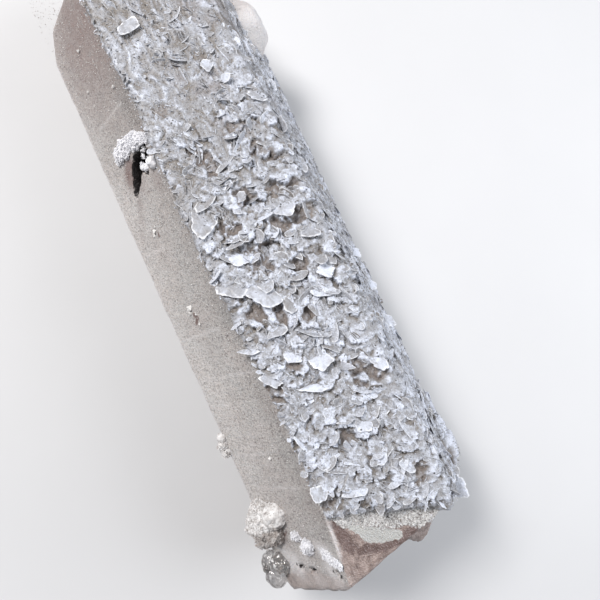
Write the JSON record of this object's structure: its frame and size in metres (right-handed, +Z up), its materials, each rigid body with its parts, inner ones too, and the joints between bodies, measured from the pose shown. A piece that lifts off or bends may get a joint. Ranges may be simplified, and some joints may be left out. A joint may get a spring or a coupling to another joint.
{
  "type": "quartz floater",
  "caption": "Loose doubly ended quartz crystal, frosted on one side and crusted with thin white plates on the other, resting on a prism face.",
  "frame": {"origin": "on the resting prism face, below the crystal's axis, half way along the crystal", "axes": "+X along the crystal to its blunt end, +Y to the side that the crust covers, +Z up, square to the resting face"},
  "size_m": [0.1469, 0.0488, 0.04],
  "materials": {
    "frosted_quartz": "frosted, fine sugary grain, slightly translucent, pinkish beige",
    "pearly_plates": "thin translucent white plates with a pearly shine and bright edges",
    "white_aggregate": "rough white grains, grown together in rounded lumps",
    "glassy_growth": "greyish translucent lumps, glassy and wet-looking"
  },
  "bodies": {
    "root": {"quartz_crystal": "frosted_quartz", "blade_crust": "pearly_plates", "pit_crust": "pearly_plates", "end_ridge": "pearly_plates", "end_knob": "white_aggregate", "edge_growth": "white_aggregate", "glassy_knob": "glassy_growth"}
  },
  "joints": []
}
